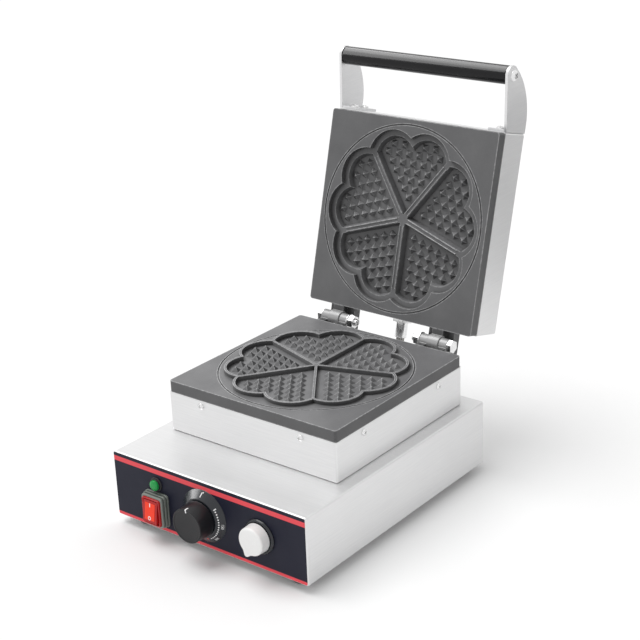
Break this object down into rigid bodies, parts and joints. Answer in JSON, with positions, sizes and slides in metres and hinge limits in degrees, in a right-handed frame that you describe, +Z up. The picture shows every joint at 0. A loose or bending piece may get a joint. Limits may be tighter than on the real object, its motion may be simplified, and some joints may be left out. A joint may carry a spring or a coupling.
{
  "type": "waffle baker",
  "caption": "Counter-top waffle baker: stainless base with control panel, cast plates with a round heart waffle pattern, and a lid on rear hinges with a tubular handle.",
  "frame": {"origin": "on the table, below the middle of the outline with the lid open", "axes": "+Z up, +X to the right of a person facing the control panel, -Y towards that person"},
  "size_m": [0.25, 0.4436, 0.4281],
  "materials": {
    "stainless": "fine brushed stainless sheet",
    "fastener": "zinc plated or stainless fasteners",
    "plate": "cast plate with a grey non-stick coat",
    "heater": "oxidised heater sheath and clamp",
    "panel": "printed dark overlay with red stripes",
    "black_plastic": "black bakelite, semi-gloss",
    "white_plastic": "white knob",
    "red_plastic": "red rocker and frame",
    "orange_lens": "orange-red rocker window",
    "green_lens": "green lamp lens",
    "grey_plastic": "grey moulded plastic",
    "gland_metal": "plated gland",
    "sleeve": "braided heat-resistant sleeve",
    "rubber": "black rubber"
  },
  "bodies": {
    "base": {"base_housing": "stainless", "bottom_plate": "stainless", "foot_front_left": "rubber", "foot_front_right": "rubber", "foot_rear_left": "rubber", "foot_rear_right": "rubber", "foot_screws": "fastener", "hinge_bolts": "fastener", "hinge_ears": "plate", "hinge_nuts": "fastener", "hinge_washers": "fastener", "lead_sleeve": "sleeve", "lower_clamp_screws": "fastener", "lower_heater": "heater", "lower_heater_clamp": "heater", "lower_housing": "stainless", "lower_housing_screws": "fastener", "lower_plate": "plate", "mains_gland": "black_plastic", "mains_gland_nut": "black_plastic", "panel_overlay": "panel", "pilot_body": "grey_plastic", "pilot_lens": "green_lens", "pilot_nut": "grey_plastic", "rocker_pin": "fastener", "sleeve_gland_base": "gland_metal", "sleeve_nut_base": "gland_metal", "switch_body": "black_plastic", "switch_boot": "grey_plastic", "switch_frame": "red_plastic", "terminal_block": "grey_plastic", "thermostat_body": "black_plastic", "thermostat_bulb": "heater", "thermostat_capillary": "heater", "thermostat_dial": "black_plastic", "tie_bolts": "fastener", "tie_nuts": "fastener", "timer_bezel": "black_plastic", "timer_body": "black_plastic"},
    "lid": {"handle_bracket_left": "stainless", "handle_bracket_right": "stainless", "handle_bracket_screws": "fastener", "handle_end_caps": "fastener", "handle_grip": "black_plastic", "handle_rod": "fastener", "hinge_tongues": "plate", "sleeve_gland_lid": "gland_metal", "sleeve_nut_lid": "gland_metal", "upper_clamp_screws": "fastener", "upper_heater": "heater", "upper_heater_clamp": "heater", "upper_housing": "stainless", "upper_housing_screws": "fastener", "upper_plate": "plate"},
    "thermostat_knob": {"thermostat_knob": "black_plastic", "thermostat_shaft": "fastener"},
    "timer_knob": {"timer_knob": "white_plastic", "timer_shaft": "fastener"},
    "rocker": {"rocker": "red_plastic", "rocker_lens": "orange_lens"}
  },
  "joints": [
    {"name": "lid_hinge", "type": "hinge", "parent": "base", "child": "lid", "pos_m": [0, 0.1076, 0.1385], "axis": [1, 0, 0], "range_deg": [0, 105], "deforming": ["lead_sleeve"]},
    {"name": "thermostat_turn", "type": "hinge", "parent": "base", "child": "thermostat_knob", "pos_m": [-0.003, -0.1954, 0.0455], "axis": [0, 1, 0], "range_deg": [0, 300]},
    {"name": "timer_turn", "type": "hinge", "parent": "base", "child": "timer_knob", "pos_m": [0.068, -0.1954, 0.0455], "axis": [0, 1, 0], "range_deg": [0, 300]},
    {"name": "rocker_tip", "type": "hinge", "parent": "base", "child": "rocker", "pos_m": [-0.066, -0.2018, 0.035], "axis": [1, 0, 0], "range_deg": [0, 16]}
  ]
}
